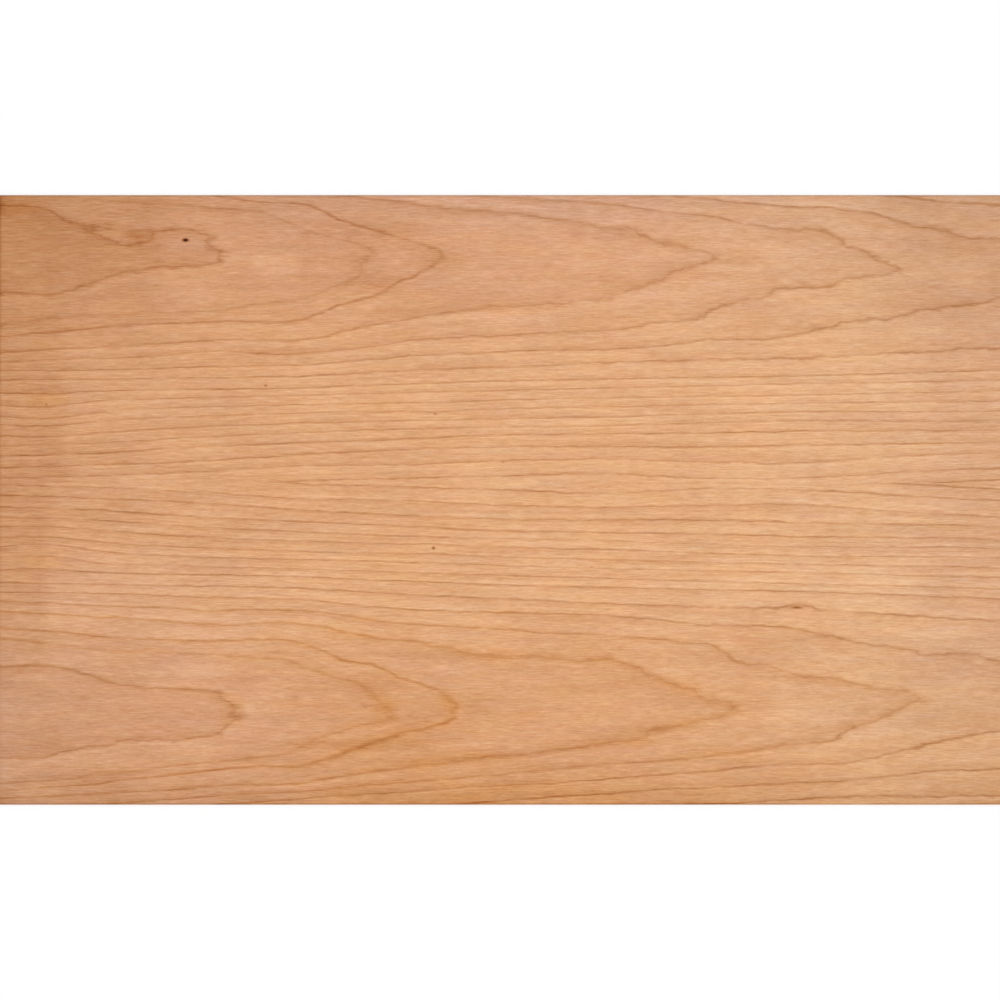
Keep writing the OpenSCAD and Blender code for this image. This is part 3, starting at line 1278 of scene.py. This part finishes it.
def blend(finish, mode, factor, first, second):
    """Two colours through one Mix node, with this blend mode and factor. The node has sockets for other
    kinds of data too, so its colour sockets are asked for by their numbers."""
    settings = {"data_type": "RGBA", "blend_type": mode}
    inputs = {"Factor": factor, MIX_FIRST: first, MIX_SECOND: second}
    return finish.node("ShaderNodeMix", settings, inputs, output=MIX_RESULT)


def tinted(finish, colour, share, low_tint, high_tint):
    """The colour times a tint that goes from one to the other with the share."""
    return blend(finish, "MULTIPLY", 1.0, colour, blend(finish, "MIX", share, low_tint, high_tint))


def cherry(name, shape):
    """The finish of one leaf, from what its mesh carries."""
    finish = Finish(name)
    place = finish.attribute("place_in_log")
    figure = finish.parts(finish.attribute("figure"))
    year_look = finish.parts(finish.attribute("year"))
    ground, warmth, olive = finish.parts(finish.attribute("broad_look"))
    line_look = finish.parts(finish.attribute("line_look"))
    growth, stained = growth_tone(finish, place, figure, year_look, line_look)
    tone = ground + growth + fibre_tone(finish, place, figure)
    tone = tone + knot_tone(finish, place, SMALL_KNOTS[shape.leaf]) + rim_tone(finish, place, shape)
    colour = finish.node("ShaderNodeValToRGB", {"stops": RAMP}, [tone / GREY_STEPS])
    warmth = warmth + stained + finish.noises(place, WARMTH_NOISES)
    colour = tinted(finish, colour, warmth * WARMTH_SHARE + NO_TINT, PINK_TINT, ORANGE_TINT)
    olive = olive * OLIVE_SHARE + finish.noises(place, OLIVE_NOISES) + NO_TINT
    colour = tinted(finish, colour, olive, ROSE_TINT, OLIVE_TINT)
    fibres = finish.noise(place, *FIBRE_GRAIN)
    heights = {"Strength": FIBRE_STRENGTH, "Distance": FIBRE_HEIGHT, "Height": fibres}
    shader = finish.node(
        "ShaderNodeBsdfPrincipled",
        inputs={
            "Base Color": colour,
            "Roughness": fibres * UNEVEN_ROUGHNESS + ROUGHNESS,
            "Specular IOR Level": GLOSS,
            "Normal": finish.node("ShaderNodeBump", inputs=heights),
        },
    )
    finish.node("ShaderNodeOutputMaterial", inputs=[shader])
    return finish.material


print("tints from", PINK_TINT[:3], "to", ORANGE_TINT[:3])

# %% [markdown]
# The leaves are glued into one sheet, but they are two pieces, and each has a finish of its own, because
# its knots and rims are its own. Each replaces the slab of its name, and neither moves.

# %% Finish both leaves
SLOTS = {"narrow_leaf": "cherry_narrow_leaf", "wide_leaf": "cherry_wide_leaf"}
for leaf, piece in pieces.items():
    piece.data.materials.append(cherry(SLOTS[leaf], LeafShape(leaf)))
    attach(piece, "root")
    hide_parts(leaf)
print("finished", list(pieces))

# %% [markdown]
# ## Light and floor
#
# A copying stand has soft light from all sides. A level sky gives most of it and a weak sun the rest, so
# that edges and fibres still cast a hint of shade. Their levels are chosen so that a flat sheet shows its
# colours as they are written: the sky counts as it is, and a sun adds its strength times the cosine of its
# slant, divided by pi. The sky gives light at its own level, but what is seen of it, straight or in a
# gloss, is plain white.

# %% Light
SKY_SHARE = 0.65
SEEING_RAYS = ("Is Camera Ray", "Is Glossy Ray", "Is Transmission Ray")
SUN_SLANT = math.radians(35)
SUN_TURN = math.radians(-40)
SUN_SOFTNESS = math.radians(12)

world = bpy.data.worlds.new("soft_sky")
bpy.context.scene.world = world
sky = Finish(world=world)
rays = [sky.node("ShaderNodeLightPath", output=ray) for ray in SEEING_RAYS]
seen = rays[0].math("MAXIMUM", rays[1]).math("MAXIMUM", rays[2])
brightness = seen * (1 - SKY_SHARE) + SKY_SHARE
dome = sky.node("ShaderNodeBackground", inputs={"Color": (1.0, 1.0, 1.0, 1.0), "Strength": brightness})
sky.node("ShaderNodeOutputWorld", inputs=[dome])

sun_data = bpy.data.lights.new("weak_sun", "SUN")
sun_data.energy = math.pi * (1 - SKY_SHARE) / math.cos(SUN_SLANT)
sun_data.angle = SUN_SOFTNESS
sun = bpy.data.objects.new("weak_sun", sun_data)
sun.rotation_euler = (SUN_SLANT, 0.0, SUN_TURN)
bpy.context.scene.collection.objects.link(sun)
print("sun strength", round(sun_data.energy, 3))

# %% [markdown]
# The sheet lies on white paper. The paper is a pale grey that gives a little light of its own, and the two
# add up to white. It gives that light to the camera only, so it doesn't light the sheet from below. It
# lies a hair under the sheet, and it belongs to the stage and not to the part.

# %% Floor
FLOOR_SIZE = 12.0
FLOOR_GAP = 0.0001
FLOOR_GREY = 0.8

floor_level = sheet_low.z - FLOOR_GAP
turns = ((-1, -1), (1, -1), (1, 1), (-1, 1))
floor_corners = [(x * FLOOR_SIZE / 2, y * FLOOR_SIZE / 2, floor_level) for x, y in turns]
floor_mesh = bpy.data.meshes.new("floor")
floor_mesh.from_pydata(floor_corners, [], [(0, 1, 2, 3)])
floor = bpy.data.objects.new("floor", floor_mesh)
bpy.context.scene.collection.objects.link(floor)
paper = Finish("white_paper")
camera_rays = paper.node("ShaderNodeLightPath")
grey = (FLOOR_GREY, FLOOR_GREY, FLOOR_GREY, 1.0)
matt = paper.node("ShaderNodeBsdfDiffuse", inputs={"Color": grey})
glow = paper.node("ShaderNodeEmission", inputs={"Strength": camera_rays * (1 - FLOOR_GREY)})
both = paper.node("ShaderNodeAddShader", inputs=[matt, glow])
paper.node("ShaderNodeOutputMaterial", inputs=[both])
floor.data.materials.append(paper.material)
print("floor at", round(floor_level / MM, 2), "mm")
